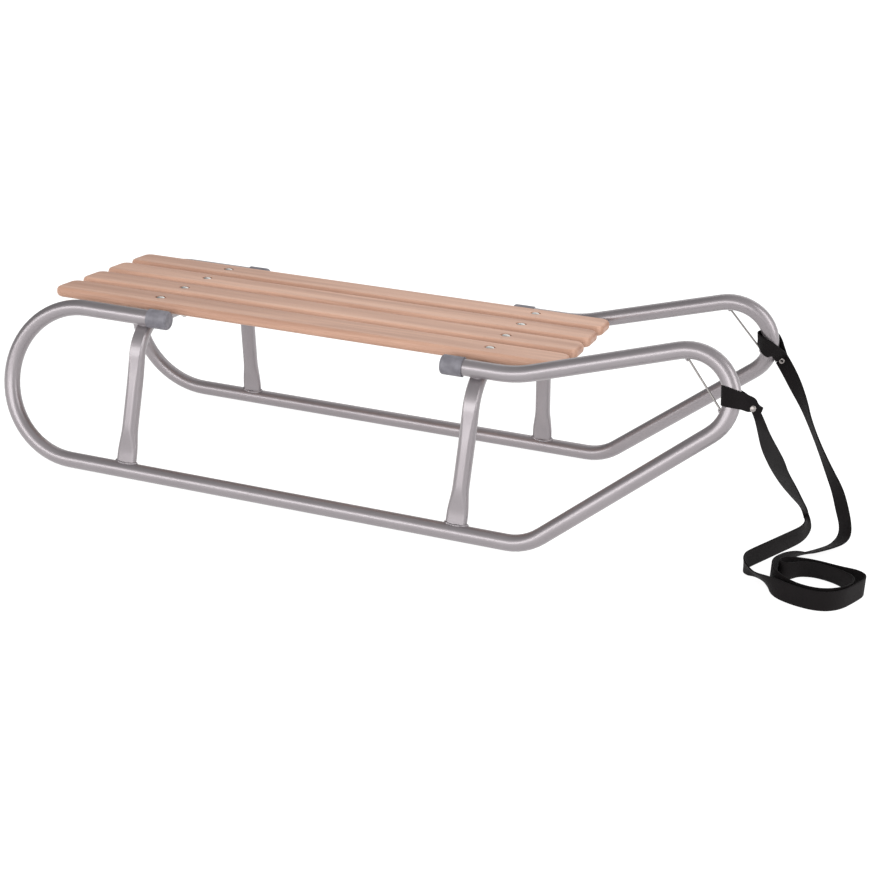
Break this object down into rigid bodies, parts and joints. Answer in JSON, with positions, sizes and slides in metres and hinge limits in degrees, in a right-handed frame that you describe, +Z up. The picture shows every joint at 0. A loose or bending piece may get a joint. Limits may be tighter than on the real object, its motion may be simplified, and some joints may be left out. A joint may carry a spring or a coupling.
{
  "type": "metal sled",
  "caption": "Child's sled with bent metal tube runners that curl up at both ends, leaning side frames, a slatted wooden seat on tube arches and a webbing pull strap.",
  "frame": {"origin": "on the floor, midway between the runners and midway between the rear bends and the strap loops' tips", "axes": "+X forward in the direction of travel, +Y to the left, +Z up"},
  "size_m": [1.195, 0.42, 0.2916],
  "materials": {
    "tube": "satin silver paint",
    "cap": "matte grey",
    "slat": "clear satin varnish on beech",
    "bolt": "zinc plated",
    "wire": "drawn steel wire",
    "strap": "black woven webbing",
    "rivet": "bright"
  },
  "bodies": {
    "root": {"side_tube_right": "tube", "rear_cap_right": "cap", "front_cap_right": "cap", "keeper_wire_right": "wire", "strap_loop_right": "strap", "strap_rivet_right": "rivet", "side_tube_left": "tube", "rear_cap_left": "cap", "front_cap_left": "cap", "keeper_wire_left": "wire", "strap_loop_left": "strap", "strap_rivet_left": "rivet", "arch_rear": "tube", "seat_bolt_rear_1": "bolt", "seat_bolt_rear_2": "bolt", "seat_bolt_rear_3": "bolt", "seat_bolt_rear_4": "bolt", "arch_front": "tube", "seat_bolt_front_1": "bolt", "seat_bolt_front_2": "bolt", "seat_bolt_front_3": "bolt", "seat_bolt_front_4": "bolt", "slat_1": "slat", "slat_2": "slat", "slat_3": "slat", "slat_4": "slat", "strap_hang_right": "strap", "strap_hang_left": "strap", "strap_run_right": "strap", "strap_run_left": "strap", "strap_coil": "strap"}
  },
  "joints": []
}
